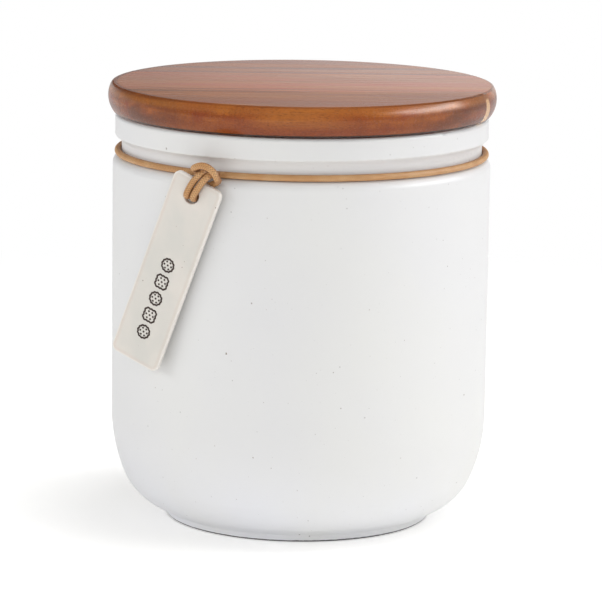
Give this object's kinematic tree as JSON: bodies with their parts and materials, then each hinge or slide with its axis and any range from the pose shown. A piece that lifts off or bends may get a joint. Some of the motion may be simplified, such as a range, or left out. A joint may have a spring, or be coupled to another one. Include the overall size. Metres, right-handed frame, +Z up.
{
  "type": "lidded biscuit jar",
  "caption": "Round glazed stoneware jar with a turned board lid, soft seal, neck cord and hanging clay tag, for dry biscuits.",
  "frame": {"origin": "middle of the foot ring, on the surface the jar stands on", "axes": "+Z up; -Y is the front; the tag hangs left of the front, towards -X"},
  "size_m": [0.16, 0.16, 0.181],
  "materials": {
    "stoneware_glaze": "glossy off-white glaze with small brown speckles",
    "lid_board_outer": "oiled, satin, grain from side to side",
    "lid_board_middle": "oiled, satin, redder board",
    "plug_wood": "oiled, matt",
    "seal_silicone": "milky silicone",
    "waxed_cord": "braided, waxed, tan",
    "tag_glaze": "cream glaze, a little warmer at the edges"
  },
  "bodies": {
    "jar": {"jar_body": "stoneware_glaze"},
    "seal": {"lid_seal": "seal_silicone"},
    "lid": {"lid_stave_front": "lid_board_outer", "lid_stave_middle": "lid_board_middle", "lid_stave_back": "lid_board_outer", "lid_plug": "plug_wood"},
    "cord": {"cord_left": "waxed_cord", "cord_right": "waxed_cord"},
    "hitch": {"cord_hitch": "waxed_cord"},
    "tag": {"tag": "tag_glaze"}
  },
  "joints": [
    {"name": "lid_lift", "type": "slide", "parent": "jar", "child": "seal", "axis": [0, 0, 1], "range_m": [0, 0.09]},
    {"name": "lid_turn", "type": "hinge", "parent": "seal", "child": "lid", "pos_m": [0, 0, 0.17], "axis": [0, 0, 1], "continuous": true},
    {"name": "cord_turn", "type": "hinge", "parent": "jar", "child": "cord", "pos_m": [0, 0, 0.15254], "axis": [0, 0, 1], "continuous": true},
    {"name": "tag_lift", "type": "hinge", "parent": "cord", "child": "hitch", "pos_m": [-0.03399, -0.06787, 0.15254], "axis": [-0.8942, 0.4478, 0], "range_deg": [0, 40]},
    {"name": "tag_swing", "type": "hinge", "parent": "hitch", "child": "tag", "pos_m": [-0.04289, -0.07074, 0.14444], "axis": [-0.4537, -0.8903, -0.0384], "range_deg": [-18, 8]}
  ]
}
